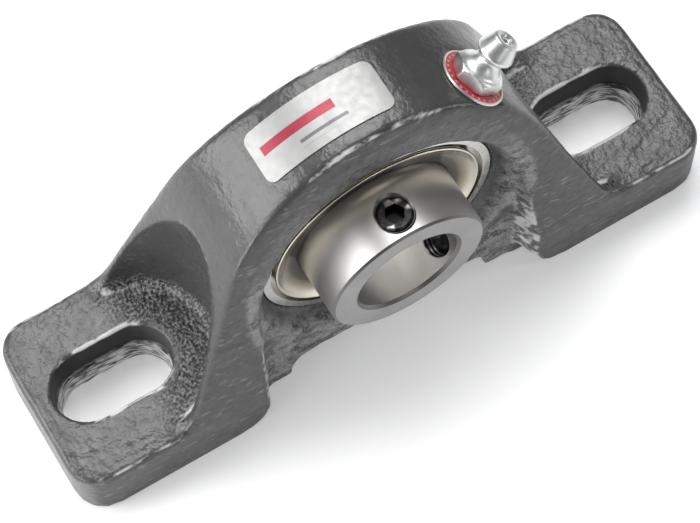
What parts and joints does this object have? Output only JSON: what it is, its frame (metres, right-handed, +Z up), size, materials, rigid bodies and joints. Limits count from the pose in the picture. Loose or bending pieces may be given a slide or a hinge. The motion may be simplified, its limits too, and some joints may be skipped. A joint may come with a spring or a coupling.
{
  "type": "pillow block bearing",
  "caption": "Cast-iron pillow block with slotted feet, holding a swivelling set screw ball bearing insert and a grease fitting.",
  "frame": {"origin": "base plane, under the bearing centre, midway between the two bolt slots", "axes": "+X along the base towards the grease fitting, +Y along the shaft away from the set screw collar, +Z up from the base"},
  "size_m": [0.127, 0.0353, 0.0654],
  "materials": {
    "casting_enamel": "dark grey gloss enamel over sand-cast iron",
    "bearing_steel": "ground bright",
    "ground_steel": "satin ground",
    "pressed_steel": "pressed and polished",
    "nitrile_rubber": "moulded matte",
    "cage_steel": "pressed",
    "black_oxide_steel": "black oxide",
    "zinc_plate": "bright zinc plate",
    "ball_steel": "polished",
    "red_enamel": "gloss red",
    "label_foil": "silver-white foil"
  },
  "bodies": {
    "housing": {"housing": "casting_enamel", "grease_fitting_body": "zinc_plate", "grease_fitting_spring": "cage_steel", "grease_fitting_tag_ring": "red_enamel", "nameplate_label": "label_foil"},
    "lock_pin": {"lock_pin": "bearing_steel"},
    "outer_ring": {"outer_ring": "bearing_steel", "front_seal_rubber": "nitrile_rubber", "rear_seal_rubber": "nitrile_rubber", "front_seal_plate": "pressed_steel", "rear_seal_plate": "pressed_steel"},
    "inner_ring": {"inner_ring": "ground_steel", "front_flinger": "pressed_steel", "rear_flinger": "pressed_steel"},
    "cage": {"cage_front_half": "cage_steel", "cage_rear_half": "cage_steel", "cage_rivets": "cage_steel"},
    "set_screw_top": {"set_screw_top": "black_oxide_steel"},
    "set_screw_side": {"set_screw_side": "black_oxide_steel"},
    "check_ball": {"grease_fitting_check_ball": "ball_steel"},
    "ball_1": {"ball_1": "ball_steel"},
    "ball_2": {"ball_2": "ball_steel"},
    "ball_3": {"ball_3": "ball_steel"},
    "ball_4": {"ball_4": "ball_steel"},
    "ball_5": {"ball_5": "ball_steel"},
    "ball_6": {"ball_6": "ball_steel"},
    "ball_7": {"ball_7": "ball_steel"},
    "ball_8": {"ball_8": "ball_steel"}
  },
  "joints": [
    {"name": "insert_tilt", "type": "hinge", "parent": "housing", "child": "lock_pin", "pos_m": [0, 0, 0.03334], "axis": [1, 0, 0], "range_deg": [-3, 3]},
    {"name": "insert_swing", "type": "hinge", "parent": "lock_pin", "child": "outer_ring", "pos_m": [0, 0, 0.03334], "axis": [0, 0, 1], "range_deg": [-3, 3]},
    {"name": "inner_ring_spin", "type": "hinge", "parent": "outer_ring", "child": "inner_ring", "pos_m": [0, 0, 0.03334], "axis": [0, 1, 0], "continuous": true},
    {"name": "cage_orbit", "type": "hinge", "parent": "outer_ring", "child": "cage", "pos_m": [0, 0, 0.03334], "axis": [0, 1, 0], "continuous": true},
    {"name": "ball_1_spin", "type": "hinge", "parent": "cage", "child": "ball_1", "pos_m": [0, 0, 0.05009], "axis": [0, 1, 0], "continuous": true},
    {"name": "ball_2_spin", "type": "hinge", "parent": "cage", "child": "ball_2", "pos_m": [0.01184, 0, 0.04518], "axis": [0, 1, 0], "continuous": true},
    {"name": "ball_3_spin", "type": "hinge", "parent": "cage", "child": "ball_3", "pos_m": [0.01675, 0, 0.03334], "axis": [0, 1, 0], "continuous": true},
    {"name": "ball_4_spin", "type": "hinge", "parent": "cage", "child": "ball_4", "pos_m": [0.01184, 0, 0.0215], "axis": [0, 1, 0], "continuous": true},
    {"name": "ball_5_spin", "type": "hinge", "parent": "cage", "child": "ball_5", "pos_m": [0, 0, 0.01659], "axis": [0, 1, 0], "continuous": true},
    {"name": "ball_6_spin", "type": "hinge", "parent": "cage", "child": "ball_6", "pos_m": [-0.01184, 0, 0.0215], "axis": [0, 1, 0], "continuous": true},
    {"name": "ball_7_spin", "type": "hinge", "parent": "cage", "child": "ball_7", "pos_m": [-0.01675, 0, 0.03334], "axis": [0, 1, 0], "continuous": true},
    {"name": "ball_8_spin", "type": "hinge", "parent": "cage", "child": "ball_8", "pos_m": [-0.01184, 0, 0.04518], "axis": [0, 1, 0], "continuous": true},
    {"name": "set_screw_top_travel", "type": "slide", "parent": "inner_ring", "child": "set_screw_top", "axis": [0, 0, 1], "range_m": [-0.001, 0.0025]},
    {"name": "set_screw_side_travel", "type": "slide", "parent": "inner_ring", "child": "set_screw_side", "axis": [0.866, 0, -0.5], "range_m": [-0.001, 0.0025]},
    {"name": "check_ball_press", "type": "slide", "parent": "housing", "child": "check_ball", "axis": [-0.6626, 0, -0.749], "range_m": [0, 0.0008], "stiffness_N_per_m": 500, "springref_m": -0.001, "deforming": ["grease_fitting_spring"]}
  ],
  "couplings": [
    {"joint": "cage_orbit", "follows": "inner_ring_spin", "ratio": 0.38152},
    {"joint": "ball_1_spin", "follows": "inner_ring_spin", "ratio": -1.9916},
    {"joint": "ball_2_spin", "follows": "inner_ring_spin", "ratio": -1.9916},
    {"joint": "ball_3_spin", "follows": "inner_ring_spin", "ratio": -1.9916},
    {"joint": "ball_4_spin", "follows": "inner_ring_spin", "ratio": -1.9916},
    {"joint": "ball_5_spin", "follows": "inner_ring_spin", "ratio": -1.9916},
    {"joint": "ball_6_spin", "follows": "inner_ring_spin", "ratio": -1.9916},
    {"joint": "ball_7_spin", "follows": "inner_ring_spin", "ratio": -1.9916},
    {"joint": "ball_8_spin", "follows": "inner_ring_spin", "ratio": -1.9916}
  ]
}
